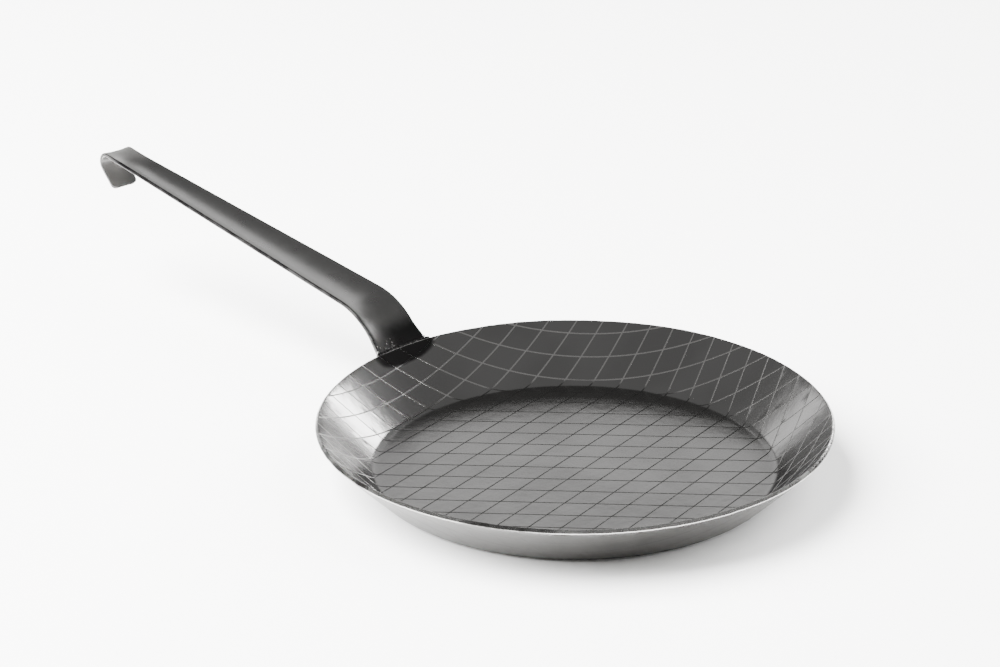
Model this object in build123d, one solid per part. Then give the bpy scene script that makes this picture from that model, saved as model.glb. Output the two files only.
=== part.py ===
"""Frying pan of bare carbon steel with a long hooked strip handle.

The bowl is pressed from one round steel blank. The handle is bent from one steel strip. Its foot
lies on the outside of the wall, and four weld runs fuse it there: one along the rim's cut edge,
one up each side of the foot and one round its toe.

Frame: millimetres, +Z up, origin at the centre of the underside of the floor. The handle runs
along -X in the plane Y = 0. It is built along +X and turned round before it is written.
"""

import os
from math import cos, degrees, radians, sin, tan

from build123d import *

# Bowl: one blank with a flat floor, a bend and a straight flared wall.
SHEET = 2.5  # thickness of the blank
RIM_RADIUS = 140.0  # outermost edge of the rim
RIM_HEIGHT = 31.6  # inner, upper edge of the rim above the underside
WALL_ANGLE = 45.0  # wall above the horizontal
FLOOR_BEND = 6.0  # inside radius of the bend between floor and wall
RIM_BREAK = 0.4  # small round on both edges of the cut rim

# Handle: one strip, troughed along its grip with the hollow side up.
STRIP = 2.5  # thickness of the strip
FOOT_LAP = 20.0  # length of the foot on the outside of the wall, down the slope
FOOT_PRESS = 0.05  # how far the strip is drawn on to the wall before it is trimmed to fit
FOOT_ROUND = 8.0  # corner radius of the foot's toe
RISE = 14.3  # straight climb from the rim to the shoulder bend
SHOULDER_BEND = 46.5  # radius of the strip's upper edges round the shoulder
GRIP_ANGLE = 7.75  # slope of the grip
GRIP_LENGTH = 219.5  # from the shoulder bend to the neck, where the trough starts to fade
NECK_LENGTH = 15.0  # from the neck to the hook
HOOK_BEND = 7.0  # radius of the strip's upper edges round the hook
HOOK_TURN = 137.0
HOOK_TAIL = 15.5  # straight end of the hook
TIP_ROUND = 4.5  # corner radius of the hook's tip

# Width of the strip and depth of its trough, from the foot to the hook's tip.
FOOT_SHAPE = (35.6, 1.05)
SHOULDER_SHAPE = (31.6, 3.0)
NECK_SHAPE = (18.8, 2.4)
HOOK_SHAPE = (19.5, 0.7)
TIP_SHAPE = (18.2, 0.5)

# Weld runs.
RIM_BEAD = 2.3  # radius of the run along the rim
FOOT_BEAD = 2.1  # radius of the runs round the foot
FOOT_BEAD_SINK = 0.35  # depth of their middle below the wall where the strip's middle lies
BEAD_OVERRUN = 1.2  # how far the run along the rim passes each side of the strip

WALL = radians(WALL_ANGLE)
GRIP = radians(GRIP_ANGLE)


def along(angle, length=1.0):
    """Vector of `length` at `angle` above the horizontal, in the plane of the handle."""
    return Vector(cos(angle), 0, sin(angle)) * length


def rim_edges():
    """Inner and outer edge of the rim, cut square to the sheet, in the plane of the handle."""
    inner = Vector(RIM_RADIUS - SHEET * sin(WALL), 0, RIM_HEIGHT)
    outer = Vector(RIM_RADIUS, 0, RIM_HEIGHT - SHEET * cos(WALL))
    return inner, outer


def bowl():
    """The pressed bowl, revolved from its section."""
    inner, outer = rim_edges()
    outer_corner = Vector(outer.X - outer.Z / tan(WALL), 0, 0)
    inner_corner = Vector(inner.X - (inner.Z - SHEET) / tan(WALL), 0, SHEET)
    floor_centre = Vector(0, 0, SHEET)
    corners = [Vector(0, 0, 0), outer_corner, outer, inner, inner_corner, floor_centre]
    section = make_face(Polyline(corners, close=True))
    for corner, radius in (
        (outer_corner, FLOOR_BEND + SHEET),
        (inner_corner, FLOOR_BEND),
        (outer, RIM_BREAK),
        (inner, RIM_BREAK),
    ):
        section = fillet(section.vertices().sort_by_distance(corner)[0], radius)
    return revolve(section, Axis.Z, 360)


def strip_section(width, hollow):
    """The strip's cross-section: X across it, and Y = 0 at its two upper edges."""
    half = width / 2
    upper = ThreePointArc((-half, 0), (0, -hollow), (half, 0))
    lower = ThreePointArc((half, -STRIP), (0, -hollow - STRIP), (-half, -STRIP))
    return make_face([upper, Line(upper @ 1, lower @ 0), lower, Line(lower @ 1, upper @ 0)])


def station(point, slope):
    """Plane square to the strip: local X across it and local Y normal to it, upwards."""
    return Plane(origin=point, x_dir=(0, 1, 0), z_dir=(cos(slope), 0, sin(slope)))


def bend_end(start, slope, end_slope, radius):
    """Centre and end of a downward bend that starts at `start`."""
    quarter = radians(90)
    centre = start - along(slope + quarter, radius)
    return centre, centre + along(end_slope + quarter, radius)


def strip_path():
    """Points of the strip's upper edges, in the plane of the handle, by name."""
    edge_rise = FOOT_SHAPE[1] + FOOT_PRESS
    rim = rim_edges()[1] + along(WALL + radians(90), edge_rise)
    shoulder = rim + along(WALL, RISE)
    shoulder_centre, grip = bend_end(shoulder, WALL, GRIP, SHOULDER_BEND)
    neck = grip + along(GRIP, GRIP_LENGTH)
    hook = neck + along(GRIP, NECK_LENGTH)
    tail_slope = GRIP - radians(HOOK_TURN)
    hook_centre, tail = bend_end(hook, GRIP, tail_slope, HOOK_BEND)
    return {
        "toe": rim - along(WALL, FOOT_LAP),
        "rim": rim,
        "shoulder": shoulder,
        "shoulder_centre": shoulder_centre,
        "grip": grip,
        "neck": neck,
        "hook": hook,
        "hook_centre": hook_centre,
        "tail": tail,
        "tip": tail + along(tail_slope, HOOK_TAIL),
        "tail_slope": tail_slope,
    }


def stretch(start, start_shape, end, end_shape, slope):
    """A straight stretch of the strip whose section changes evenly."""
    first = station(start, slope) * strip_section(*start_shape)
    last = station(end, slope) * strip_section(*end_shape)
    return loft([first, last], ruled=True)


def bend(start, shape, slope, centre, turn):
    """A bend of the strip about a level axis through `centre`, turning downwards."""
    face = station(start, slope) * strip_section(*shape)
    return revolve(face, Axis(centre, (0, 1, 0)), turn)


def round_end(solid, end, radius):
    """Rounds the two corners, in plan, of the strip's end at `end`."""
    across = solid.edges().filter_by(lambda edge: edge.length < STRIP * 1.2)
    return fillet(across.sort_by_distance(end)[:2], radius)


def handle():
    """The strip handle from toe to tip, its foot trimmed to the outside of the wall."""
    at = strip_path()
    foot = stretch(at["toe"], FOOT_SHAPE, at["rim"], FOOT_SHAPE, WALL)
    rise = stretch(at["rim"], FOOT_SHAPE, at["shoulder"], SHOULDER_SHAPE, WALL)
    shoulder = bend(at["shoulder"], SHOULDER_SHAPE, WALL, at["shoulder_centre"], WALL_ANGLE - GRIP_ANGLE)
    grip = stretch(at["grip"], SHOULDER_SHAPE, at["neck"], NECK_SHAPE, GRIP)
    neck = stretch(at["neck"], NECK_SHAPE, at["hook"], HOOK_SHAPE, GRIP)
    hook = bend(at["hook"], HOOK_SHAPE, GRIP, at["hook_centre"], HOOK_TURN)
    tail = stretch(at["tail"], HOOK_SHAPE, at["tip"], TIP_SHAPE, at["tail_slope"])
    foot = round_end(foot, at["toe"], FOOT_ROUND)
    tail = round_end(tail, at["tip"], TIP_ROUND)
    return foot + rise + shoulder + grip + neck + hook + tail - bowl()


def rim_run():
    """The weld run along the rim's cut edge, in the corner that it makes with the strip."""
    outer = rim_edges()[1]
    half_width = FOOT_SHAPE[0] / 2 + BEAD_OVERRUN
    half_angle = degrees(half_width / RIM_RADIUS)
    section = Plane(origin=outer, x_dir=(1, 0, 0), z_dir=(0, -1, 0)) * Circle(RIM_BEAD)
    return revolve(Rotation(0, 0, -half_angle) * section, Axis.Z, 2 * half_angle)


def foot_run_path():
    """The edge of the foot as three wires along the wall: right side, toe, left side."""
    half = FOOT_SHAPE[0] / 2
    straight = FOOT_LAP - FOOT_ROUND
    first = Line((-half, 0), (-half, -straight))
    first_arc = TangentArc((-half, -straight), (FOOT_ROUND - half, -FOOT_LAP), tangent=(0, -1))
    toe = Line(first_arc @ 1, (half - FOOT_ROUND, -FOOT_LAP))
    last_arc = TangentArc(toe @ 1, (half, -straight), tangent=(1, 0))
    last = Line(last_arc @ 1, (half, 0))
    wall_plane = Plane(
        origin=rim_edges()[1] + along(WALL + radians(90), FOOT_BEAD_SINK),
        x_dir=(0, -1, 0),
        z_dir=along(WALL + radians(90)),
    )
    return [wall_plane * wire for wire in (Wire([first]), Wire([first_arc, toe, last_arc]), Wire([last]))]


def foot_runs():
    """The three weld runs round the foot, as whole tubes."""
    runs = []
    for wire in foot_run_path():
        section = Plane(origin=wire @ 0, z_dir=wire % 0) * Circle(FOOT_BEAD)
        runs.append(sweep(section, path=wire))
    return runs


def pan():
    """Every piece by node name, in its final place."""
    pan_body = bowl()
    hook_handle = handle()
    weld_rim = rim_run() - pan_body - hook_handle
    right, toe, left = [run - pan_body - hook_handle - weld_rim for run in foot_runs()]
    pieces = {
        "pan_body": pan_body,
        "hook_handle": hook_handle,
        "weld_rim": weld_rim,
        "weld_left": left,
        "weld_right": right,
        "weld_toe": toe - left - right,
    }
    return {name: Rotation(0, 0, 180) * piece for name, piece in pieces.items()}


if __name__ == "__main__":
    os.makedirs("parts", exist_ok=True)
    for node, piece in pan().items():
        export_step(piece, f"parts/{node}.step")
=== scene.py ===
"""Looks of a carbon steel frying pan with a hooked strip handle, built round its packed CAD model.

The bowl is one flat blank, scored with a rhombic grid and then pressed into shape by a node tree.
The handle is one strip swept along its path, and ripples of weld metal hold its foot to the wall.
"""

import random
from math import ceil, cos, pi, radians, sin, sqrt, tan

import bmesh
import bpy
from bpy.props import FloatProperty, IntProperty, PointerProperty, StringProperty
from mathutils import Matrix, Vector, noise


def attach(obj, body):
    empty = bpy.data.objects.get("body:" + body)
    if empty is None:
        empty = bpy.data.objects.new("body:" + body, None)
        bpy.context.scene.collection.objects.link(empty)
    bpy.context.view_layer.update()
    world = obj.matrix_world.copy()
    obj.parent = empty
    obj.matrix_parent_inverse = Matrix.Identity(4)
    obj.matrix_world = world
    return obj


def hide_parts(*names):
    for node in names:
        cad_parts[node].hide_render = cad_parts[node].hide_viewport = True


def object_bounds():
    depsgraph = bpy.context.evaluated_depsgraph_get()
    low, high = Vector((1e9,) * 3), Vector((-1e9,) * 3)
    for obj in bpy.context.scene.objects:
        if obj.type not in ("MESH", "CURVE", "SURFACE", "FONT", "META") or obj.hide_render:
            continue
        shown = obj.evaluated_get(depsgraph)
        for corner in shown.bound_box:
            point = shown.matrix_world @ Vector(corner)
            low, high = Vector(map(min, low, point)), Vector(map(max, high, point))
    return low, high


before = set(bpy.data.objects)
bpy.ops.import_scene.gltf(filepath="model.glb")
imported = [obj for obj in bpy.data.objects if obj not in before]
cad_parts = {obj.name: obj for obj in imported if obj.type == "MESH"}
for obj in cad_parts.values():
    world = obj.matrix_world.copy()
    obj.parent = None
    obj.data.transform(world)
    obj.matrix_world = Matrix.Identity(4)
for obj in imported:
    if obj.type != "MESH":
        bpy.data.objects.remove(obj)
CAD_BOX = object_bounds()
MM = 0.001

bl_info = {
    "name": "Carbon steel frying pan",
    "version": (1, 0, 0),
    "blender": (4, 5, 0),
    "location": "3D View > Sidebar > Pan",
    "description": "Builds a scored steel frying pan with a welded hook handle",
    "category": "Object",
}


# Settings


def length(name, description, millimetres):
    """A length property whose default is given in millimetres."""
    return FloatProperty(
        name=name,
        description=description,
        default=millimetres * MM,
        precision=5,
        unit="LENGTH",
        subtype="DISTANCE",
    )


def angle(name, description, default_degrees):
    """An angle property whose default is given in degrees."""
    return FloatProperty(
        name=name,
        description=description,
        default=radians(default_degrees),
        precision=4,
        unit="ROTATION",
        subtype="ANGLE",
    )


def colour(name, description, default_hex):
    """A colour property kept as an sRGB hex value."""
    return StringProperty(name=name, description=description, default=default_hex)


class BowlSettings(bpy.types.PropertyGroup):
    """Sizes of the pressed bowl and its scored grid."""

    sheet: length("Sheet", "Thickness of the blank", 2.5)
    rim_radius: length("Rim radius", "Outermost edge of the rim", 140.0)
    rim_height: length("Rim height", "Inner, upper edge of the rim", 31.6)
    wall_angle: angle("Wall angle", "Slope of the wall above the table", 45.0)
    floor_bend: length("Floor bend", "Inside radius between floor and wall", 6.0)
    edge_round: length("Edge round", "Round on the two edges of the cut rim", 0.55)
    wobble: length("Rim wobble", "How far the cut rim wanders in and out", 0.45)
    burr: length("Burr", "Height of the burrs left along the cut", 0.16)
    line_gap: length("Line gap", "Distance between neighbouring scored lines", 14.65)
    line_width: length("Line width", "Width of one scored line", 0.8)
    line_depth: length("Line depth", "Depth of one scored line", 0.14)
    first_angle: angle("First lines", "Direction of the first set of lines", 42.4)
    second_angle: angle("Second lines", "Direction of the second set of lines", 102.1)
    first_shift: length("First shift", "Distance of a first line from the centre", 4.31)
    second_shift: length("Second shift", "Distance of a second line from the centre", 7.41)
    around: IntProperty(name="Steps around", description="Steps round the rim", default=288)


class HandleSettings(bpy.types.PropertyGroup):
    """Sizes of the strip handle, from its toe on the wall to the tip of its hook."""

    strip: length("Strip", "Thickness of the strip", 2.5)
    edge_round: length("Edge round", "Round on the strip's long edges", 0.6)
    lap: length("Lap", "Length of the foot on the outside of the wall", 20.0)
    foot_round: length("Foot round", "Corner radius of the toe", 8.0)
    rise: length("Rise", "Climb from the rim to the shoulder", 14.3)
    shoulder_bend: length("Shoulder bend", "Radius of the upper edges there", 46.5)
    grip_angle: angle("Grip angle", "Slope of the grip", 7.75)
    grip: length("Grip", "Length from the shoulder to the neck", 219.5)
    neck: length("Neck", "Length from the neck to the hook", 15.0)
    hook_bend: length("Hook bend", "Radius of the upper edges round the hook", 7.0)
    hook_turn: angle("Hook turn", "Angle that the hook turns through", 137.0)
    tail: length("Tail", "Straight end of the hook", 15.5)
    tip_round: length("Tip round", "Corner radius of the hook's tip", 2.8)
    foot_width: length("Foot width", "Width on the wall", 35.6)
    shoulder_width: length("Shoulder width", "Width at the shoulder", 31.5)
    neck_width: length("Neck width", "Width at the neck", 18.8)
    hook_width: length("Hook width", "Width round the hook", 19.5)
    tip_width: length("Tip width", "Width at the tip", 18.2)
    grip_trough: length("Grip trough", "Depth of the trough along the grip", 3.0)
    neck_trough: length("Neck trough", "Depth of the trough at the neck", 2.4)
    hook_trough: length("Hook trough", "Depth of the trough round the hook", 0.6)
    unevenness: length("Unevenness", "How far the forged faces wander", 0.07)


class WeldSettings(bpy.types.PropertyGroup):
    """Sizes of the weld runs and their spatter."""

    rim_bead: length("Rim bead", "Radius of the run along the rim", 2.0)
    foot_bead: length("Foot bead", "Radius of the runs round the foot", 1.9)
    ripple: length("Ripple", "Distance between ripples", 1.15)
    spatter: length("Spatter", "Radius of the largest droplet", 0.55)
    seed: IntProperty(name="Seed", description="Seed of the ripples and droplets", default=7)


class FinishSettings(bpy.types.PropertyGroup):
    """Colours of the steel and of the stage."""

    steel: colour("Steel", "Bare cold-rolled steel", "#8D8C8B")
    steel_dark: colour("Dark steel", "Where the steel has a thin oxide film", "#868584")
    cut_edge: colour("Cut edge", "Freshly cut and ground edge", "#BDBCBA")
    # Pale partly as painted highlight on the scored lines of the wall; also the rubbed hook.
    score: colour("Scored line", "Bare, rough steel in the scored lines", "#CFCECC")
    # Also used for painted shade: the lines on the floor, the outer face of the wall and, in part, the
    # strip's sheared edges.
    scale: colour("Mill scale", "Dark scale left on the hot-formed strip", "#5E5D5C")
    strip: colour("Strip", "Worn faces of the strip", "#838281")
    # Besides heat tint, also painted shade under the hook and, in part, on the strip's sheared edges.
    tint: colour("Heat tint", "Oxide next to the welds", "#3A3939")
    weld: colour("Weld metal", "As-welded metal", "#5F5E5D")
    # Pale partly as painted highlight on the spatter and on the weld ends.
    droplet: colour("Droplet", "Bright spatter and burnished weld ends", "#D6D5D3")
    table: colour("Table", "Plain pale floor", "#F4F4F3")


class StageSettings(bpy.types.PropertyGroup):
    """Camera and lights."""

    camera_distance: length("Camera distance", "From the pan's centre, level", 1343.3)
    camera_height: length("Camera height", "Above the table", 629.6)
    camera_side: angle("Camera side", "Where the camera stands round the pan", -45.0)
    pitch: angle("Pitch", "How far the camera looks down", 22.27)
    yaw: angle("Yaw", "How far the camera is turned to its left", 1.70)
    roll: angle("Roll", "How far the camera is tilted clockwise", 0.44)
    lens: FloatProperty(name="Lens", description="Focal length in mm", default=98.05)


GROUPS = {
    "pan_bowl": BowlSettings,
    "pan_handle": HandleSettings,
    "pan_weld": WeldSettings,
    "pan_finish": FinishSettings,
    "pan_stage": StageSettings,
}


# Small helpers


def linear(hex_value):
    """Turns an sRGB hex value into a linear RGBA colour."""
    parts = [int(hex_value[i : i + 2], 16) / 255 for i in (1, 3, 5)]
    return [v / 12.92 if v <= 0.04045 else ((v + 0.055) / 1.055) ** 2.4 for v in parts] + [1.0]


def feed(node, inputs):
    """Gives each input of a node a value or a hex colour, or links it to what feeds it."""
    for name, value in inputs.items():
        if str(value).startswith("#"):
            value = linear(value)
        value = getattr(value, "socket", value)
        if isinstance(value, bpy.types.NodeSocket):
            node.id_data.links.new(value, node.inputs[name])
        else:
            node.inputs[name].default_value = value


def add(tree, kind, inputs=None, **settings):
    """Adds a node with its settings and inputs."""
    node = tree.nodes.new(kind)
    for name, value in settings.items():
        setattr(node, name, value)
    feed(node, inputs or {})
    return node


class Number:
    """A number that nodes work out. Plain arithmetic on it adds the nodes that carry it out."""

    def __init__(self, socket):
        self.socket = socket
        self.tree = socket.id_data

    def then(self, operation, *others):
        """This number after one more step of maths."""
        inputs = dict(enumerate((self, *others)))
        return Number(add(self.tree, "ShaderNodeMath", inputs, operation=operation).outputs[0])

    def __rsub__(self, other):
        return self.then("MULTIPLY", -1.0).then("ADD", other)

    def spread(self, low, high, to_low=0.0, to_high=1.0, kind="SMOOTHSTEP"):
        """This number moved from low..high to to_low..to_high, and held at both ends."""
        inputs = {"Value": self, 1: low, 2: high, 3: to_low, 4: to_high}
        return Number(add(self.tree, "ShaderNodeMapRange", inputs, interpolation_type=kind).outputs[0])

    def blend(self, first, second):
        """The colour this far of the way from one colour to another."""
        inputs = {"Factor": self, 6: first, 7: second}
        return add(self.tree, "ShaderNodeMix", inputs, data_type="RGBA").outputs[2]


ARITHMETIC = {
    "__add__": "ADD",
    "__sub__": "SUBTRACT",
    "__mul__": "MULTIPLY",
    "__truediv__": "DIVIDE",
    "__pow__": "POWER",
    "__abs__": "ABSOLUTE",
    "__gt__": "GREATER_THAN",
    "__lt__": "LESS_THAN",
}
for method, operation in ARITHMETIC.items():
    setattr(Number, method, lambda self, *others, step=operation: self.then(step, *others))


def axes_of(place):
    """The three coordinates of a place."""
    return [Number(axis) for axis in add(place.id_data, "ShaderNodeSeparateXYZ", {0: place}).outputs]


def cloud(place, size, detail=3.0, stretch=(1, 1, 1)):
    """Cloudy variation about 0.5 whose features are about `size` metres across."""
    tree = place.id_data
    scaled = add(tree, "ShaderNodeVectorMath", {0: place, 1: stretch}, operation="MULTIPLY")
    inputs = {"Vector": scaled.outputs[0], "Scale": 1 / size, "Detail": detail}
    return Number(add(tree, "ShaderNodeTexNoise", inputs).outputs["Fac"])


def smooth_step(low, high, value):
    """0 below `low`, 1 above `high`, and an even ease between them."""
    t = min(max((value - low) / (high - low), 0.0), 1.0)
    return t * t * (3 - 2 * t)


def new_object(name, data):
    """Links a mesh or a curve into the scene as a new object at the origin."""
    piece = bpy.data.objects.new(name, data)
    bpy.context.scene.collection.objects.link(piece)
    return piece


def as_mesh(name, work):
    """Turns an edited mesh into a plain one and lets the edited one go."""
    mesh = bpy.data.meshes.new(name)
    work.to_mesh(mesh)
    work.free()
    return mesh


def crease_lines(mesh):
    """Smooth shading, with the sides and the valley of every scored line kept crisp."""
    work = bmesh.new()
    work.from_mesh(mesh)
    sunk = work.verts.layers.float["sunk"]
    line = work.faces.layers.float["line"]
    for face in work.faces:
        face.smooth = True
        face.tag = face[line] > 0.5
    for edge in work.edges:
        tags = [face.tag for face in edge.link_faces]
        valley = all(tags) and all(vert[sunk] > 0.5 for vert in edge.verts)
        edge.smooth = len(set(tags)) == 1 and not valley
    work.to_mesh(mesh)
    work.free()


def shade(mesh, sharp_degrees):
    """Smooth shading, with edges sharper than the angle kept crisp."""
    mesh.polygons.foreach_set("use_smooth", [True] * len(mesh.polygons))
    mesh.set_sharp_from_angle(angle=radians(sharp_degrees))


def grow(name, source, tree, values):
    """The mesh that a geometry node tree makes from a mesh or a curve."""
    start = new_object(name + "_start", source)
    modifier = start.modifiers.new("grow", "NODES")
    modifier.node_group = tree
    for item in tree.interface.items_tree:
        if item.in_out == "INPUT" and item.name in values:
            modifier[item.identifier] = values[item.name]
    grown = start.evaluated_get(bpy.context.evaluated_depsgraph_get())
    mesh = bpy.data.meshes.new_from_object(grown)
    mesh.name = name
    bpy.data.objects.remove(start)
    return mesh


def node_tree(name, sockets):
    """A geometry node tree with named inputs: returns the tree, its inputs and its output node."""
    tree = bpy.data.node_groups.new(name, "GeometryNodeTree")
    tree.interface.new_socket("Geometry", in_out="OUTPUT", socket_type="NodeSocketGeometry")
    tree.interface.new_socket("Geometry", in_out="INPUT", socket_type="NodeSocketGeometry")
    for socket, kind in sockets.items():
        tree.interface.new_socket(socket, in_out="INPUT", socket_type=kind)
    given = {socket.name: Number(socket) for socket in tree.nodes.new("NodeGroupInput").outputs}
    result = tree.nodes.new("NodeGroupOutput")
    return tree, given, result


def finish_tree(tree, geometry, material, result):
    """Ends a geometry node tree: makes its instances real and coats them with a material."""
    real = add(tree, "GeometryNodeRealizeInstances", {"Geometry": geometry}).outputs[0]
    coated = add(tree, "GeometryNodeSetMaterial", {"Geometry": real, "Material": material})
    feed(result, {0: coated.outputs[0]})


def finish_piece(piece, node):
    """Rides the piece on the root body and hides the CAD part that it takes the place of."""
    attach(piece, "root")
    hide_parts(node)


# Materials

# Size of each pattern's features.
FILM_PATCH = 45 * MM  # cloudy oxide film on the bowl
SKIN_SPECK = 1.6 * MM  # specks of the pressed skin
ROLLED_GRAIN = 0.9 * MM  # rolling marks, coarser than real ones so that they show
FORGED_WAVE = 12 * MM  # slow waves of the formed wall
TINT_FRINGE = 5 * MM  # ragged edge of the heat tint
RIM_NICK = 3.5 * MM  # nicks along the cut rim
RIM_WEAR = 45 * MM  # stretches of the rim that are worn bright
STRIP_PATCH = 12 * MM  # patches of scale on the strip
DRAWN_MARK = 1.1 * MM  # drawing marks, coarser than real ones so that they show
SHEAR_NICK = 4 * MM  # nicks along the sheared edges
WELD_CRUST = 1.6 * MM  # crust on the weld metal
BOARD_CLOUD = 400 * MM  # faint unevenness of the board

# The crescent of heat tint on the inner wall.
MOON_MIDDLE = -1.5 * MM  # its middle line, along Y
MOON_HALF_WIDTH = 21.5 * MM
MOON_RADIUS = 139.2 * MM  # distance of its widest line from the pan's middle line
MOON_DEPTH = 7.8 * MM
MOON_SLANT = -0.04
MOON_POWER = 2.6  # more than 2 gives it fuller corners than an ellipse

# Where the strip's finish changes.
OUTER_FACE = (108.0 * MM, 109.2 * MM)  # radius less height, from the inner to the outer wall face
HOOK_REACH = (-380 * MM, -402 * MM)  # along X, from the grip to the hook
HOOK_UNDER = (83.5 * MM, 79.5 * MM)  # along Z, from the hook's top to its underside, which gets painted shade
BAND_REACH = (-157 * MM, -146.5 * MM)  # along X, from clean strip to the heat band
BAND_SIDES = (-14 * MM, 2 * MM)  # along Y, from the weaker to the stronger side of the band
LINE_REACH = (2.7 * MM, 5.5 * MM)  # along Z, from darker lines on the floor, painted shade in the grooves, to paler ones on the wall, partly bare steel and partly painted highlight


def start_material(name):
    """A new metal: its material, its shader and the place on the piece that is being shaded."""
    material = bpy.data.materials.new(name)
    material.use_nodes = True
    tree = material.node_tree
    tree.nodes.clear()
    shader = add(tree, "ShaderNodeBsdfPrincipled", {"Metallic": 1.0})
    add(tree, "ShaderNodeOutputMaterial", {"Surface": shader.outputs[0]})
    return material, shader, add(tree, "ShaderNodeTexCoord").outputs["Object"]


def bowl_steel(finish):
    """Cold-rolled carbon steel, pressed and bare: an even satin grey with a fine rolled grain,
    faint cloudy oxide, a few light specks, and a dark half-moon of heat tint by the weld."""
    material, shader, place = start_material("cold_rolled_steel_pressed")
    film = cloud(place, FILM_PATCH, 4.0)
    specks = cloud(place, SKIN_SPECK, 2.0)
    grain = cloud(place, ROLLED_GRAIN, 2.0, (1.0, 0.06, 1.0))
    forged = cloud(place, FORGED_WAVE, 3.0, (1.0, 1.0, 0.25))
    base = film.spread(0.38, 0.66).blend(finish.steel, finish.steel_dark)
    # Painted shade: the outer face of the wall is darkened towards the scale colour.
    base = (shaded_outer_face(place) * 0.48).blend(base, finish.scale)
    inputs = {"Height": forged, "Strength": 0.12, "Distance": 2 * MM}
    waves = add(place.id_data, "ShaderNodeBump", inputs).outputs[0]
    inputs = {"Height": grain * 0.6 + specks * 0.4, "Strength": 0.08, "Distance": 0.2 * MM, "Normal": waves}
    bump = add(place.id_data, "ShaderNodeBump", inputs)
    looks = {
        "Base Color": heat_moon(place).blend(base, finish.tint),
        "Roughness": film.spread(0.3, 0.7, 0.215, 0.235) + specks * 0.03,
        "Specular Tint": "#DEDEDE",
        "Normal": bump.outputs[0],
    }
    feed(shader, looks)
    return material


def radius_of(place):
    """Distance from the pan's upright middle line."""
    tree = place.id_data
    level = add(tree, "ShaderNodeVectorMath", {0: place, 1: (1, 1, 0)}, operation="MULTIPLY")
    length = add(tree, "ShaderNodeVectorMath", {0: level.outputs[0]}, operation="LENGTH")
    return Number(length.outputs["Value"])


def shaded_outer_face(place):
    """1 on the outer face of the wall, which gets painted shade for the shadowed table it faces, 0 on the
    inner face.
    """
    height = axes_of(place)[2]
    return (radius_of(place) - height).spread(*OUTER_FACE)


def heat_moon(place):
    """1 inside the crescent of oxide that the weld leaves below the rim, 0 outside it."""
    x, y, _ = axes_of(place)
    across = abs(y - MOON_MIDDLE) / MOON_HALF_WIDTH
    down = abs((MOON_RADIUS - (radius_of(place) + y * MOON_SLANT)) / MOON_DEPTH)
    ragged = (cloud(place, TINT_FRINGE) - 0.5) * 0.3
    outline = across**MOON_POWER + down**MOON_POWER + ragged
    return outline.spread(0.85, 1.35, 1.0, 0.0) * (x < 0.0)


def scored_steel(finish):
    """The floor of a scored line: torn steel, painted dark on the pan's floor as painted shade in the
    groove, and pale on its wall, partly as bare steel and partly as painted highlight; rough enough
    to stay an even grey whatever the smooth steel beside it mirrors."""
    material, shader, place = start_material("steel_scored_line")
    height = axes_of(place)[2]
    # Painted shade on the floor's lines and, in part, painted highlight on the wall's lines.
    bare = height.spread(*LINE_REACH).blend(finish.scale, finish.score)
    feed(shader, {"Base Color": heat_moon(place).blend(bare, finish.tint), "Roughness": 0.52})
    return material


def cut_steel(finish):
    """The cut and lightly ground edge of the blank: nicked, and worn bright in places."""
    material, shader, place = start_material("cold_rolled_steel_cut_edge")
    nicks = cloud(place, RIM_NICK, 4.0)
    worn = cloud(place, RIM_WEAR, 2.0).spread(0.47, 0.56)
    dull = nicks.spread(0.35, 0.7).blend(finish.steel_dark, finish.scale)
    inputs = {"Height": nicks, "Strength": 0.5, "Distance": 0.4 * MM}
    bump = add(place.id_data, "ShaderNodeBump", inputs)
    looks = {
        "Base Color": worn.blend(dull, finish.cut_edge),
        "Roughness": nicks.spread(0.3, 0.7, 0.2, 0.4),
        "Normal": bump.outputs[0],
    }
    feed(shader, looks)
    return material


def strip_steel(finish):
    """Hot-formed strip: satin steel with lengthwise drawing marks, paler and duller where the
    hook is rubbed, painted shade that darkens its colour and reflections under the hook, and a soft
    dark band of heat oxide just above the weld."""
    material, shader, place = start_material("hot_formed_steel_strip")
    x, y, z = axes_of(place)
    patches = cloud(place, STRIP_PATCH, 4.0)
    marks = cloud(place, DRAWN_MARK, 2.0, (0.05, 1.0, 0.05))
    hook = x.spread(*HOOK_REACH)
    # Painted shade: darkens the colour and the reflections under the hook.
    hook_shade = hook * z.spread(*HOOK_UNDER)
    band = (x + (patches - 0.5) * 0.006).spread(*BAND_REACH) * y.spread(*BAND_SIDES, 0.45, 1.0)
    worn = patches.spread(0.35, 0.7).blend(finish.strip, finish.steel_dark)
    rubbed = hook.blend(worn, finish.score)
    worn_and_shaded = (hook_shade * 0.85).blend(rubbed, finish.tint)
    inputs = {"Height": marks, "Strength": 0.05, "Distance": 0.1 * MM}
    bump = add(place.id_data, "ShaderNodeBump", inputs)
    looks = {
        "Base Color": band.blend(worn_and_shaded, finish.tint),
        # Painted shade under the hook also darkens the reflections.
        "Specular Tint": hook_shade.blend("#FFFFFF", finish.tint),
        "Roughness": patches.spread(0.3, 0.7, 0.27, 0.32) + hook * 0.16,
        "Normal": bump.outputs[0],
    }
    feed(shader, looks)
    return material


def sheared_edge(finish):
    """The strip's sheared long edges: rough, and dark partly with scale and partly as painted shade."""
    material, shader, place = start_material("steel_sheared_edge_scale_and_shade")
    nicks = cloud(place, SHEAR_NICK, 4.0, (0.3, 1.0, 1.0))
    # Painted shade in part: the edge faces are coloured dark, between tint and scale.
    tone = nicks.spread(0.35, 0.7).blend(finish.tint, finish.scale)
    feed(shader, {"Base Color": tone, "Roughness": nicks.spread(0.3, 0.7, 0.35, 0.5)})
    return material


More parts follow.
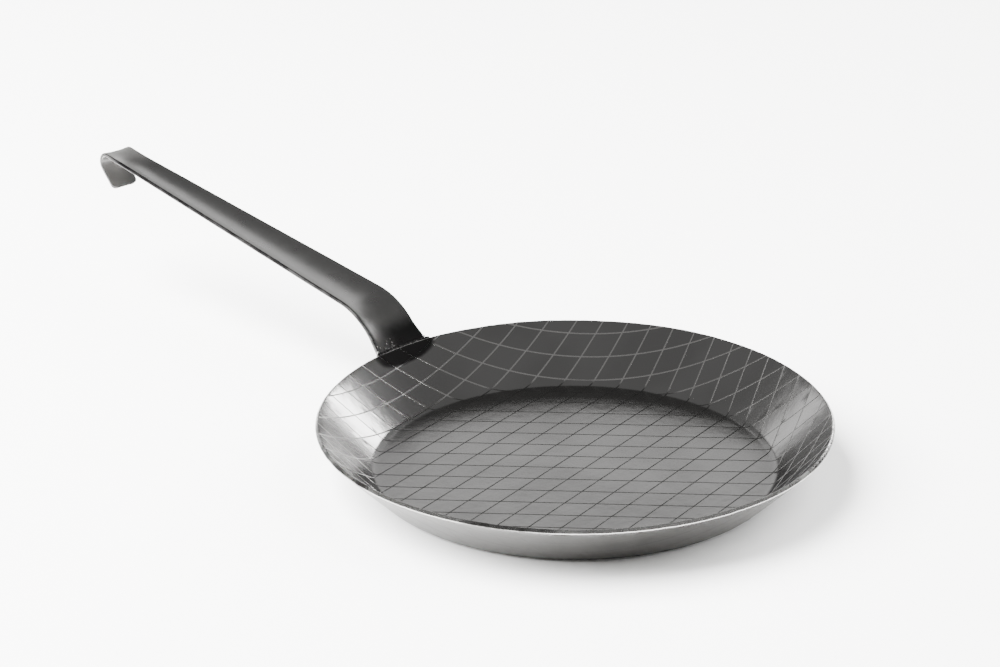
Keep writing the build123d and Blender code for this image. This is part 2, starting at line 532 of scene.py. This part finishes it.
def weld_steel(finish):
    """As-welded steel: dark oxide in the valleys and bright, burnished ripple tops."""
    material, shader, place = start_material("weld_metal_as_laid")
    crust = cloud(place, WELD_CRUST)
    inputs = {"Height": crust, "Strength": 0.4, "Distance": 0.3 * MM}
    bump = add(place.id_data, "ShaderNodeBump", inputs)
    looks = {
        "Base Color": crust.spread(0.45, 0.62).blend(finish.tint, finish.weld),
        "Roughness": crust.spread(0.3, 0.7, 0.5, 0.25),
        "Normal": bump.outputs[0],
    }
    feed(shader, looks)
    return material


def spatter_steel(finish):
    """Droplets of spatter: bare steel, pale partly as a painted highlight, so that they show as small
    bright specks.
    """
    material, shader, place = start_material("weld_spatter_bare_and_highlight")
    feed(shader, {"Base Color": finish.droplet, "Roughness": 0.45})
    return material


def table_paint(finish):
    """Plain pale matt board."""
    material, shader, place = start_material("matt_white_board")
    clouds = cloud(place, BOARD_CLOUD, 2.0).spread(0.2, 0.8, 0.0, 0.05)
    tone = clouds.blend(finish.table, "#E6E6E5")
    feed(shader, {"Base Color": tone, "Metallic": 0.0, "Roughness": 0.9})
    return material


# Bowl


def outer_edge_height(bowl):
    """Height of the rim's outer, lower edge, cut square to the sheet."""
    return bowl.rim_height - bowl.sheet * cos(bowl.wall_angle)


def bowl_sizes(bowl):
    """Lengths along the flat blank that follow from the bowl's shape."""
    bend = bowl.floor_bend + bowl.sheet / 2
    corner = bowl.rim_radius - outer_edge_height(bowl) / tan(bowl.wall_angle)
    floor = corner - (bowl.floor_bend + bowl.sheet) * tan(bowl.wall_angle / 2)
    arc = bend * bowl.wall_angle
    middle = bowl.rim_radius - bowl.sheet / 2 * sin(bowl.wall_angle)
    wall = (middle - floor - bend * sin(bowl.wall_angle)) / cos(bowl.wall_angle)
    return {"bend": bend, "floor": floor, "edge": floor + arc + wall}


def blank_rings(bowl, size):
    """The blank's section as (radius, height) rings, from the top of the floor round the cut
    edge to the underside."""
    bend_steps, wall_steps, corner_steps = 7, 7, 4
    arc = size["bend"] * bowl.wall_angle
    flat = [size["floor"] * 0.985, size["floor"]]
    bend = [size["floor"] + arc * (i + 1) / bend_steps for i in range(bend_steps)]
    wall_length = size["edge"] - bowl.edge_round - bend[-1]
    wall = [bend[-1] + wall_length * (i + 1) / wall_steps for i in range(wall_steps)]
    top = [(r, bowl.sheet) for r in flat + bend + wall]
    edge = []
    for i in range(1, corner_steps + 1):
        turn = radians(90) * i / corner_steps
        out = size["edge"] - bowl.edge_round * (1 - sin(turn))
        edge.append((out, bowl.sheet - bowl.edge_round * (1 - cos(turn))))
    under = [(r, bowl.sheet - z) for r, z in reversed(edge)]
    bottom = [(r, 0.0) for r, z in reversed(top)]
    return top + edge + under + bottom


def flat_blank(bowl, size):
    """The flat round blank as a closed mesh: one face for each side of the floor, and rings."""
    mesh = bmesh.new()
    rings = []
    for radius, height in blank_rings(bowl, size):
        turns = [2 * pi * i / bowl.around for i in range(bowl.around)]
        rings.append([mesh.verts.new((radius * cos(t), radius * sin(t), height)) for t in turns])
    for inner, outer in zip(rings, rings[1:]):
        for i in range(bowl.around):
            j = (i + 1) % bowl.around
            mesh.faces.new((inner[i], outer[i], outer[j], inner[j]))
    mesh.faces.new(rings[0])
    mesh.faces.new(list(reversed(rings[-1])))
    return mesh


# Settings of the bowl that the press takes as they are.
PRESSED_BY = ("sheet", "wobble", "burr", "line_gap", "line_width", "line_depth")
PRESSED_BY += ("wall_angle", "first_angle", "second_angle", "second_shift")
CUT_DISTANCE = 0.0001 * MM  # vertices closer than this to a cut are taken to lie on it
RIM_REACH = 12 * MM  # how far in from the rim it starts to wander
RIM_LIP = 0.9 * MM  # width of the ring that counts as the cut edge
GROOVE_PATCH = 1 / 60  # metres over which a line's depth changes
SLOW_WANDER, QUICK_WANDER = 1 / 2.2, 1 / 26  # spacing of the rim's wander, for a rim of radius 1
WANDER_SEED = 3.0


def score_cuts(mesh, bowl, size):
    """Cuts the blank along both sides and the middle of every line of the rhombic grid."""
    sets = ((bowl.first_angle, -bowl.first_shift), (bowl.second_angle, bowl.second_shift))
    count = ceil(size["edge"] / bowl.line_gap) + 1
    for direction, shift in sets:
        across = Vector((-sin(direction), cos(direction), 0))
        for k in range(-count, count + 1):
            for side in (-0.5, 0.0, 0.5):
                offset = shift + k * bowl.line_gap + side * bowl.line_width
                if abs(offset) < size["edge"]:
                    cut_across(mesh, across * offset, across)


def cut_across(mesh, point, normal):
    """Cuts every face along a plane."""
    whole = list(mesh.verts) + list(mesh.edges) + list(mesh.faces)
    bmesh.ops.bisect_plane(mesh, geom=whole, dist=CUT_DISTANCE, plane_co=point, plane_no=normal)


def line_distance(flat, direction, shift, gap):
    """Distance from the nearest line of one set."""
    tree = flat.id_data
    parts = {0: direction.then("SINE") * -1.0, 1: direction.then("COSINE")}
    across = add(tree, "ShaderNodeCombineXYZ", parts).outputs[0]
    along = add(tree, "ShaderNodeVectorMath", {0: flat, 1: across}, operation="DOT_PRODUCT")
    cells = (Number(along.outputs["Value"]) - shift) / gap + 0.5
    return abs(cells.then("FRACT") - 0.5) * gap


def line_middle(flat, given):
    """1 on the middle of a scored line, falling to 0 at both its sides."""
    first = line_distance(flat, given["first_angle"], given["first_shift"], given["line_gap"])
    second = line_distance(flat, given["second_angle"], given["second_shift"], given["line_gap"])
    half = given["line_width"] * 0.5
    return (1.0 - first.then("MINIMUM", second) / half).then("MAXIMUM", 0.0)


def rim_wander(radius, outward, given):
    """How far the rim strays outwards, and how high its burrs stand."""
    tree = outward.id_data
    seeded = add(tree, "ShaderNodeCombineXYZ", {2: given["seed"]}).outputs[0]
    drift = add(tree, "ShaderNodeVectorMath", {0: outward, 1: seeded}, operation="ADD").outputs[0]
    slow = cloud(drift, SLOW_WANDER, 4.0)
    quick = cloud(drift, QUICK_WANDER, 2.0)
    near_rim = radius.spread(given["edge"] - RIM_REACH, given["edge"])
    stray = (slow - 0.5 + (quick - 0.5) * 0.35) * given["wobble"] * near_rim * 2.0
    return stray, quick.spread(0.5, 0.72, kind="LINEAR") * given["burr"]


def bent_up(along, offset, given):
    """Distance out and height of a point of the blank once its wall is bent up."""
    floor, bend, wall = given["floor"], given["bend"], given["wall_angle"]
    past_floor = along - floor
    turn = (past_floor / bend).then("MAXIMUM", 0.0).then("MINIMUM", wall)
    straight = (past_floor - bend * wall).then("MAXIMUM", 0.0)
    sine, cosine = turn.then("SINE"), turn.then("COSINE")
    out = along.then("MINIMUM", floor) + bend * sine + straight * cosine - offset * sine
    up = bend * (1.0 - cosine) + straight * sine + offset * cosine + given["sheet"] * 0.5
    return out, up


def store_marks(tree, geometry, marks):
    """Keeps each mark on the mesh as a named attribute of its faces or its points."""
    for name, (domain, value) in marks.items():
        inputs = {"Geometry": geometry, "Name": name, "Value": value}
        settings = {"data_type": "FLOAT", "domain": domain}
        geometry = add(tree, "GeometryNodeStoreNamedAttribute", inputs, **settings).outputs[0]
    return geometry


def marked_steel(tree, geometry, mark, material, upper_only):
    """Coats the marked faces with a material of their own."""
    stored = add(tree, "GeometryNodeInputNamedAttribute", {"Name": mark}, data_type="FLOAT")
    chosen = Number(stored.outputs[0]) > 0.5
    if upper_only:
        facing = axes_of(add(tree, "GeometryNodeInputNormal").outputs[0])[2]
        chosen = chosen * (facing > 0.0)
    inputs = {"Geometry": geometry, "Selection": chosen, "Material": material}
    return add(tree, "GeometryNodeSetMaterial", inputs).outputs[0]


def press_tree(names, steel, edge_steel, line_steel):
    """The node tree that scores the flat blank, lets its rim wander and presses it to shape."""
    tree, given, result = node_tree("press_bowl", dict.fromkeys(names, "NodeSocketFloat"))
    x, y, z = axes_of(add(tree, "GeometryNodeInputPosition").outputs[0])
    flat = add(tree, "ShaderNodeCombineXYZ", {0: x, 1: y}).outputs[0]
    radius = radius_of(flat)
    outward = add(tree, "ShaderNodeVectorMath", {0: flat}, operation="NORMALIZE").outputs[0]

    middle = line_middle(flat, given)
    uneven = cloud(flat, GROOVE_PATCH, 2.0).spread(0.35, 0.65, 0.85, 1.1, kind="LINEAR")
    showing = (z > given["sheet"] * 0.98) + (z < given["sheet"] * 0.02) * 0.4
    sink = middle * given["line_depth"] * uneven * showing

    stray, burr = rim_wander(radius, outward, given)
    lip = radius > given["edge"] - RIM_LIP
    offset = z - given["sheet"] * 0.5 - sink + burr * lip
    out, up = bent_up(radius + stray, offset, given)
    level = add(tree, "ShaderNodeVectorMath", {0: outward, "Scale": out}, operation="SCALE")
    raised = add(tree, "ShaderNodeCombineXYZ", {2: up})
    sides = {0: level.outputs[0], 1: raised.outputs[0]}
    formed = add(tree, "ShaderNodeVectorMath", sides, operation="ADD").outputs[0]

    scored = showing > 0.1
    marks = {
        "edge": ("FACE", lip),
        "sunk": ("POINT", (middle > 0.9) * scored),
        "line": ("FACE", (middle > 0.2) * scored),
    }
    marked = store_marks(tree, given["Geometry"], marks)
    pressed = add(tree, "GeometryNodeSetPosition", {"Geometry": marked, "Position": formed}).outputs[0]
    real = add(tree, "GeometryNodeRealizeInstances", {"Geometry": pressed}).outputs[0]
    coated = add(tree, "GeometryNodeSetMaterial", {"Geometry": real, "Material": steel}).outputs[0]
    edged = marked_steel(tree, coated, "edge", edge_steel, False)
    feed(result, {0: marked_steel(tree, edged, "line", line_steel, True)})
    return tree


class PAN_OT_bowl(bpy.types.Operator):
    """Scores and presses the bowl"""

    bl_idname = "pan.bowl"
    bl_label = "Bowl"

    def execute(self, context):
        bowl = context.scene.pan_bowl
        finish = context.scene.pan_finish
        size = bowl_sizes(bowl)
        blank = flat_blank(bowl, size)
        score_cuts(blank, bowl, size)
        bmesh.ops.recalc_face_normals(blank, faces=blank.faces)
        mesh = as_mesh("blank", blank)
        values = {name: getattr(bowl, name) for name in PRESSED_BY}
        values.update(size, first_shift=-bowl.first_shift, seed=WANDER_SEED)
        tree = press_tree(values, bowl_steel(finish), cut_steel(finish), scored_steel(finish))
        piece = new_object("bowl", grow("bowl", mesh, tree, values))
        if len(piece.data.polygons) < bowl.around:
            raise RuntimeError("the blank lost its faces")
        crease_lines(piece.data)
        finish_piece(piece, "pan_body")
        return {"FINISHED"}


# Handle


WALL_GAP = 0.03 * MM  # how close the foot's middle is drawn to the wall
SHOULDER_SPREAD = 0.6 * MM  # extra width where the rise meets the shoulder
SHOULDER_HOLLOW = 0.8  # share of the grip's trough that is reached there
FINE_STEP, COARSE_STEP = 1.2 * MM, 2.8 * MM  # between sections on bends and on the grip
FORGED_WAVES = ((55, 1.0), (190, 0.4))  # waves per metre of the forged faces, and their strength
HELD_LENGTH = 10 * MM  # length beyond the rim over which the weld keeps the faces true
EDGE_STEPS = range(17, 22)  # steps of half a section that make its sheared side


def along_slope(slope, distance=1.0):
    """Vector of a distance at a slope, in the upright plane of the handle, leaving the bowl."""
    return Vector((-cos(slope), 0, sin(slope))) * distance


class StripPath:
    """The strip's upper edges as a path by distance from the rim; the lap is at negative ones."""

    def __init__(self, bowl, handle):
        self.handle = handle
        self.wall = bowl.wall_angle
        self.rim_wall = Vector((-bowl.rim_radius, 0, outer_edge_height(bowl)))
        half = handle.foot_width / 2
        self.foot_trough = half * half * sin(self.wall) / (2 * bowl.rim_radius)
        self.rim = self.rim_wall + along_slope(self.wall + pi / 2, self.foot_trough - WALL_GAP)
        turn = self.wall - handle.grip_angle
        self.stops = [handle.rise]
        self.stops.append(self.stops[-1] + turn * handle.shoulder_bend)
        self.stops.append(self.stops[-1] + handle.grip + handle.neck)
        self.stops.append(self.stops[-1] + handle.hook_turn * handle.hook_bend)
        self.end = self.stops[-1] + handle.tail

    def at(self, distance):
        """Point on the path and the slope there."""
        handle = self.handle
        stretches = (
            (self.stops[0], 0.0),
            (self.stops[1], handle.shoulder_bend),
            (self.stops[2], 0.0),
            (self.stops[3], handle.hook_bend),
            (self.end, 0.0),
        )
        point, slope, start = self.rim.copy(), self.wall, 0.0
        for stop, radius in stretches:
            step = min(distance, stop) - start
            if radius and step > 0:
                centre = point - along_slope(slope + pi / 2, radius)
                slope -= step / radius
                point = centre + along_slope(slope + pi / 2, radius)
            else:
                point += along_slope(slope, step)
            start = stop
            if distance <= stop:
                break
        return point, slope

    def shape(self, distance):
        """Width of the strip and depth of its trough."""
        handle = self.handle
        neck = self.stops[2] - handle.neck
        shoulder_width = handle.shoulder_width + SHOULDER_SPREAD
        stations = (
            (-handle.lap, handle.foot_width, self.foot_trough),
            (0.0, handle.foot_width, self.foot_trough),
            (self.stops[0], shoulder_width, handle.grip_trough * SHOULDER_HOLLOW),
            (self.stops[1], handle.shoulder_width, handle.grip_trough),
            (neck, handle.neck_width, handle.neck_trough),
            (self.stops[2], handle.hook_width, handle.hook_trough),
            (self.stops[3], handle.hook_width, handle.hook_trough),
            (self.end, handle.tip_width, handle.hook_trough),
        )
        for (s0, w0, h0), (s1, w1, h1) in zip(stations, stations[1:]):
            if distance <= s1:
                t = max((distance - s0) / (s1 - s0), 0.0)
                if s1 != neck:
                    t = smooth_step(0, 1, t)
                return w0 + (w1 - w0) * t, h0 + (h1 - h0) * t
        return handle.tip_width, handle.hook_trough

    def narrowing(self, distance):
        """How much each side draws in to round the corners of the toe and the tip."""
        total = 0.0
        for gap, radius in (
            (distance + self.handle.lap, self.handle.foot_round),
            (self.end - distance, self.handle.tip_round),
        ):
            if gap < radius:
                total = radius - sqrt(max(radius * radius - (radius - gap) ** 2, 0.0))
        return total


def strip_stops(path):
    """Distances along the strip at which its section is set."""
    handle = path.handle
    steps = []
    for i in range(8):
        steps.append(-handle.lap + handle.foot_round * (1 - cos(radians(90) * i / 8)))
    start = -handle.lap + handle.foot_round
    distance = start
    while distance < path.end - handle.tip_round:
        steps.append(distance)
        curved = distance < path.stops[1] or distance > path.stops[2] - handle.neck
        distance += FINE_STEP if curved else COARSE_STEP
    for i in range(9):
        steps.append(path.end - handle.tip_round * (1 - sin(radians(90) * i / 8)))
    return steps


def section_points(width, thickness, edge_round):
    """A flat strip's rounded section as (across, depth below the upper face) points."""
    half = width / 2
    face_steps, corner_steps = 14, 5
    inner = half - edge_round
    points = [(-inner + 2 * inner * i / face_steps, 0.0) for i in range(face_steps + 1)]
    for i in range(1, corner_steps + 1):
        turn = radians(90) * i / corner_steps
        points.append((inner + edge_round * sin(turn), edge_round * (1 - cos(turn))))
    for i in range(corner_steps):
        turn = radians(90) * i / corner_steps
        points.append((inner + edge_round * cos(turn), thickness - edge_round * (1 - sin(turn))))
    return points + [(-x, thickness - d) for x, d in points]


def strip_ring(path, distance):
    """The strip's section at a distance along it, as points in place."""
    handle = path.handle
    point, slope = path.at(distance)
    width, trough = path.shape(distance)
    up = along_slope(slope + pi / 2)
    half = width / 2
    room = 1 - path.narrowing(distance) / half
    ring = []
    for across, depth in section_points(width, handle.strip, handle.edge_round):
        x = across * room
        lean = -2 * trough * x / (half * half)
        tilt = 1 / sqrt(1 + lean * lean)
        side = x - depth * lean * tilt
        drop = trough * (1 - (x / half) ** 2) + depth * tilt
        place = point - up * drop + Vector((0, side, 0))
        wander = sum(strength * noise.noise(place * waves) for waves, strength in FORGED_WAVES)
        free = smooth_step(0.0, HELD_LENGTH, distance)
        ring.append(place + up * wander * handle.unevenness * free)
    return ring


def strip_mesh(path):
    """The whole strip as one closed mesh."""
    mesh = bmesh.new()
    rings = [[mesh.verts.new(p) for p in strip_ring(path, d)] for d in strip_stops(path)]
    count = len(rings[0])
    for first, second in zip(rings, rings[1:]):
        for i in range(count):
            j = (i + 1) % count
            face = mesh.faces.new((first[i], first[j], second[j], second[i]))
            face.material_index = int(i % (count // 2) in EDGE_STEPS)
    mesh.faces.new(list(reversed(rings[0])))
    mesh.faces.new(rings[-1])
    bmesh.ops.recalc_face_normals(mesh, faces=mesh.faces)
    return as_mesh("strip_handle", mesh)


class PAN_OT_handle(bpy.types.Operator):
    """Sweeps the strip handle from its foot to its hook"""

    bl_idname = "pan.handle"
    bl_label = "Strip handle"

    def execute(self, context):
        path = StripPath(context.scene.pan_bowl, context.scene.pan_handle)
        piece = new_object("strip_handle", strip_mesh(path))
        piece.data.materials.append(strip_steel(context.scene.pan_finish))
        piece.data.materials.append(sheared_edge(context.scene.pan_finish))
        shade(piece.data, 50)
        finish_piece(piece, "hook_handle")
        return {"FINISHED"}


# Welds


RIPPLE_SIZES = ((0.93, 0.93, 0.42), (1.07, 1.07, 0.62))  # smallest and largest, along the run last
RIPPLE_DRIFT = 0.12 * MM  # how far a ripple strays from the run
BEAD_OVERRUN = 1.2 * MM  # how far the run along the rim passes each side of the foot
RIM_CLEARANCE = 1.6 * MM  # where the runs up the foot's sides stop below the rim
SMALLEST_DROPLET = 0.35  # share of the largest droplet's radius


def guide_curve(name, points):
    """An open poly line as curve data."""
    data = bpy.data.curves.new(name, "CURVE")
    data.dimensions = "3D"
    spline = data.splines.new("POLY")
    spline.points.add(len(points) - 1)
    for point, place in zip(spline.points, points):
        point.co = (*place, 1.0)
    return data


def ripple_tree(material):
    """The node tree that lays overlapping ripples of weld metal along a run."""
    sockets = {"Radius": "NodeSocketFloat", "Ripple": "NodeSocketFloat", "Seed": "NodeSocketInt"}
    tree, given, result = node_tree("weld_run", sockets)
    inputs = {"Curve": given["Geometry"], "Length": given["Ripple"]}
    steps = add(tree, "GeometryNodeResampleCurve", inputs, mode="LENGTH")
    inputs = {"Segments": 18, "Rings": 10, "Radius": given["Radius"]}
    ball = add(tree, "GeometryNodeMeshUVSphere", inputs)
    tangent = add(tree, "GeometryNodeInputTangent")
    inputs = {"Vector": tangent.outputs[0]}
    turned = add(tree, "FunctionNodeAlignRotationToVector", inputs, axis="Z")
    inputs = {"Min": RIPPLE_SIZES[0], "Max": RIPPLE_SIZES[1], "Seed": given["Seed"]}
    scale = add(tree, "FunctionNodeRandomValue", inputs, data_type="FLOAT_VECTOR")
    inputs = {"Min": [-RIPPLE_DRIFT] * 3, "Max": [RIPPLE_DRIFT] * 3, "Seed": given["Seed"]}
    nudge = add(tree, "FunctionNodeRandomValue", inputs, data_type="FLOAT_VECTOR")
    inputs = {"Geometry": steps.outputs[0], "Offset": nudge.outputs[0]}
    moved = add(tree, "GeometryNodeSetPosition", inputs)
    inputs = {
        "Points": moved.outputs[0],
        "Instance": ball.outputs[0],
        "Rotation": turned.outputs[0],
        "Scale": scale.outputs[0],
    }
    placed = add(tree, "GeometryNodeInstanceOnPoints", inputs)
    finish_tree(tree, placed.outputs[0], material, result)
    return tree


def rim_run(bowl, handle):
    """Points of the run along the rim's cut edge."""
    height = outer_edge_height(bowl)
    reach = (handle.foot_width / 2 + BEAD_OVERRUN) / bowl.rim_radius
    turns = [reach * (i / 12 - 1) for i in range(25)]
    radius = bowl.rim_radius
    return [Vector((-radius * cos(t), -radius * sin(t), height)) for t in turns]


def foot_runs(bowl, path):
    """Points of the runs round the foot on the outside of the wall: right, toe, left."""
    handle = path.handle
    half, lap, corner = handle.foot_width / 2, handle.lap, handle.foot_round
    straight = lap - corner
    side = [(-half, -RIM_CLEARANCE - (straight - RIM_CLEARANCE) * i / 10) for i in range(11)]
    quarter = [radians(90) * i / 8 for i in range(9)]
    toe = [(-half + corner * (1 - cos(t)), -straight - corner * sin(t)) for t in quarter]
    toe = toe + [(-x, s) for x, s in reversed(toe)]

    def on_wall(x, s):
        centre = path.rim_wall + along_slope(path.wall, s)
        fall = x * x * sin(path.wall) / (2 * -centre.x)
        return centre + along_slope(path.wall + pi / 2, fall) + Vector((0, x, 0))

    right = [on_wall(x, s) for x, s in side]
    left = [on_wall(-x, s) for x, s in side]
    return {"weld_right": right, "weld_toe": [on_wall(x, s) for x, s in toe], "weld_left": left}


def droplet_tree(material):
    """The node tree that sets a droplet of spatter, each of its own size, on every given point."""
    sockets = {"Radius": "NodeSocketFloat", "Seed": "NodeSocketInt"}
    tree, given, result = node_tree("weld_spatter", sockets)
    inputs = {"Radius": given["Radius"], "Subdivisions": 3}
    drop = add(tree, "GeometryNodeMeshIcoSphere", inputs)
    inputs = {2: SMALLEST_DROPLET, 3: 1.0, "Seed": given["Seed"]}
    sizes = add(tree, "FunctionNodeRandomValue", inputs, data_type="FLOAT")
    inputs = {"Points": given["Geometry"], "Instance": drop.outputs[0], "Scale": sizes.outputs[1]}
    placed = add(tree, "GeometryNodeInstanceOnPoints", inputs)
    finish_tree(tree, placed.outputs[0], material, result)
    return tree


def upper_face(path, distance, across):
    """A point of the strip's hollow upper face."""
    point, slope = path.at(distance)
    width, trough = path.shape(distance)
    fall = trough * (1 - (2 * across / width) ** 2)
    return point - along_slope(slope + pi / 2, fall) + Vector((0, across, 0))


# Droplets: how many, how far up the strip, and how far across as a share of its half width.
ABOVE_JOINT = (18, (1.5 * MM, 7.5 * MM), (0.2, 0.95))
AT_EACH_END = (6, (0.0, 2.5 * MM), (0.92, 1.04))


def spatter_spots(path, seed):
    """Where droplets stuck: mostly above the near half of the joint, and at both of its ends."""
    dice = random.Random(seed)
    half = path.handle.foot_width / 2
    spots = []
    for side, (count, climb, reach) in ((-1, ABOVE_JOINT), (-1, AT_EACH_END), (1, AT_EACH_END)):
        for i in range(count):
            distance = dice.uniform(*climb)
            spots.append(upper_face(path, distance, side * half * dice.uniform(*reach)))
    return spots


def joined(first, second):
    """One mesh from two, each of which keeps its own material."""
    work = bmesh.new()
    work.from_mesh(first)
    count = len(work.faces)
    work.from_mesh(second)
    for index, face in enumerate(work.faces):
        face.material_index = int(index >= count)
    whole = as_mesh(first.name, work)
    for mesh in (first, second):
        whole.materials.append([m for m in mesh.materials if m][0])
    return whole


def spatter(path, tree, weld):
    """The droplets as one mesh."""
    points = bpy.data.meshes.new("spots")
    points.from_pydata(spatter_spots(path, weld.seed), [], [])
    return grow("spatter", points, tree, {"Radius": weld.spatter, "Seed": weld.seed})


class PAN_OT_welds(bpy.types.Operator):
    """Lays the weld runs along the rim and round the foot"""

    bl_idname = "pan.welds"
    bl_label = "Weld runs"

    def execute(self, context):
        scene = context.scene
        bowl, handle, weld = scene.pan_bowl, scene.pan_handle, scene.pan_weld
        path = StripPath(bowl, handle)
        tree = ripple_tree(weld_steel(scene.pan_finish))
        drop_tree = droplet_tree(spatter_steel(scene.pan_finish))
        runs = {"weld_rim": rim_run(bowl, handle), **foot_runs(bowl, path)}
        for seed, (node, points) in enumerate(runs.items(), weld.seed):
            radius = weld.rim_bead if node == "weld_rim" else weld.foot_bead
            values = {"Radius": radius, "Ripple": weld.ripple, "Seed": seed}
            mesh = grow(node, guide_curve(node, points), tree, values)
            if node == "weld_rim":
                mesh = joined(mesh, spatter(path, drop_tree, weld))
            if not mesh.polygons:
                raise RuntimeError("no ripples were laid for " + node)
            piece = new_object(node + "_run", mesh)
            shade(mesh, 80)
            finish_piece(piece, node)
        return {"FINISHED"}


# Stage


LIT_POINT = Vector((0, 0, 0.02))
BOARD_HALF = 6.0
BOARD_GAP = 0.2 * MM  # between the pan's lowest point and the board
ROOM_LIGHT = 0.32

# Each light: degrees to the right of straight behind the pan, distance, height, size, watts and
# whether it shows in shiny surfaces.
LAMPS = {
    "overhead": (-95, 1.6, 1.9, (2.4, 2.4), 860, False),
    "fill": (80, 1.6, 1.5, (2.2, 2.2), 140, False),
    "rear_right": (36, 2.2, 0.62, (0.42, 0.5), 23, True),
    "rear_left": (-38, 2.2, 0.58, (0.8, 0.7), 4.6, True),
    "backdrop": (0, 2.6, 0.95, (2.2, 1.1), 9.5, True),
}


def lamp(name, place, size, watts, shine):
    """A soft rectangular light; without shine it lights matt surfaces alone."""
    data = bpy.data.lights.new(name, "AREA")
    data.shape = "RECTANGLE"
    data.size, data.size_y = size
    data.energy = watts
    light = bpy.data.objects.new(name, data)
    light.location = place
    light.rotation_euler = (LIT_POINT - place).to_track_quat("-Z", "Y").to_euler()
    light.visible_glossy = shine
    bpy.context.scene.collection.objects.link(light)


def around(side, azimuth, distance, height):
    """A place at an angle to the right of straight behind the pan, as the camera sees it."""
    direction = side + pi - azimuth
    return Vector((distance * cos(direction), distance * sin(direction), height))


def add_camera(stage):
    """The camera, by where it stands and how it is turned."""
    data = bpy.data.cameras.new("camera")
    data.lens = stage.lens
    data.sensor_width = 36
    data.clip_end = 50
    camera = bpy.data.objects.new("camera", data)
    side = stage.camera_side
    away = stage.camera_distance
    place = Vector((away * cos(side), away * sin(side), stage.camera_height))
    heading = side + pi + stage.yaw
    level = cos(stage.pitch)
    forward = Vector((level * cos(heading), level * sin(heading), -sin(stage.pitch)))
    upright = forward.to_track_quat("-Z", "Y").to_matrix()
    turned = upright @ Matrix.Rotation(-stage.roll, 3, "Z")
    camera.matrix_world = Matrix.Translation(place) @ turned.to_4x4()
    bpy.context.scene.collection.objects.link(camera)
    bpy.context.scene.camera = camera


def studio_air(strength):
    """The dim, even light of the room."""
    world = bpy.data.worlds.new("studio")
    world.use_nodes = True
    feed(world.node_tree.nodes["Background"], {"Color": "#FFFFFF", "Strength": strength})
    bpy.context.scene.world = world


class PAN_OT_stage(bpy.types.Operator):
    """Sets the floor, the lights and the camera"""

    bl_idname = "pan.stage"
    bl_label = "Stage"

    def execute(self, context):
        scene = context.scene
        stage = scene.pan_stage
        board = bmesh.new()
        bmesh.ops.create_grid(board, x_segments=2, y_segments=2, size=BOARD_HALF)
        table = new_object("table", as_mesh("table", board))
        table.location.z = CAD_BOX[0][2] - BOARD_GAP
        table.data.materials.append(table_paint(scene.pan_finish))
        for name, (azimuth, distance, height, size, watts, shine) in LAMPS.items():
            place = around(stage.camera_side, radians(azimuth), distance, height)
            lamp(name, place, size, watts, shine)
        studio_air(ROOM_LIGHT)
        add_camera(stage)
        return {"FINISHED"}


class PAN_PT_panel(bpy.types.Panel):
    """Lists the pan's operators and settings"""

    bl_idname = "PAN_PT_panel"
    bl_label = "Frying pan"
    bl_space_type = "VIEW_3D"
    bl_region_type = "UI"
    bl_category = "Pan"

    def draw(self, context):
        for operator in OPERATORS:
            self.layout.operator(operator.bl_idname)
        for name, group in GROUPS.items():
            box = self.layout.box()
            box.label(text=group.__doc__)
            for item in group.__annotations__:
                box.prop(getattr(context.scene, name), item)


OPERATORS = (PAN_OT_bowl, PAN_OT_handle, PAN_OT_welds, PAN_OT_stage)
CLASSES = tuple(GROUPS.values()) + OPERATORS + (PAN_PT_panel,)


def register():
    for item in CLASSES:
        bpy.utils.register_class(item)
    for name, group in GROUPS.items():
        setattr(bpy.types.Scene, name, PointerProperty(type=group))


def unregister():
    for name in GROUPS:
        delattr(bpy.types.Scene, name)
    for item in reversed(CLASSES):
        bpy.utils.unregister_class(item)


def main():
    """Builds every piece and the stage."""
    register()
    bpy.ops.pan.bowl()
    bpy.ops.pan.handle()
    bpy.ops.pan.welds()
    bpy.ops.pan.stage()


if __name__ == "__main__":
    main()
